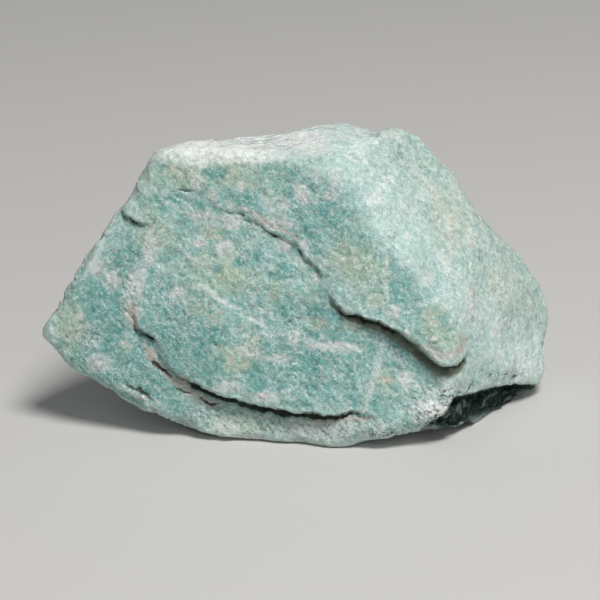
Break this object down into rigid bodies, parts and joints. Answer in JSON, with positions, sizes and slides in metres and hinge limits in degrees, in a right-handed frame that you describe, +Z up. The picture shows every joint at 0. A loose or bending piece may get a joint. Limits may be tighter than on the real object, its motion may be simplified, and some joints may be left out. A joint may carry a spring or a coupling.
{
  "type": "rough amazonite",
  "caption": "Rough lump of green amazonite feldspar with a broad ledged cleavage face, broken flanks and a small flat spot that it rests on.",
  "frame": {"origin": "bottom centre of the lump's bounding box, on the surface it rests on", "axes": "+X along the lump's length, to the right as the ledged face is looked at; -Y out of the ledged face; +Z up"},
  "size_m": [0.0952, 0.0538, 0.0507],
  "materials": {
    "amazonite": "dull broken stone, slightly glossy on the cleavage faces"
  },
  "bodies": {
    "root": {"amazonite": "amazonite"}
  },
  "joints": []
}
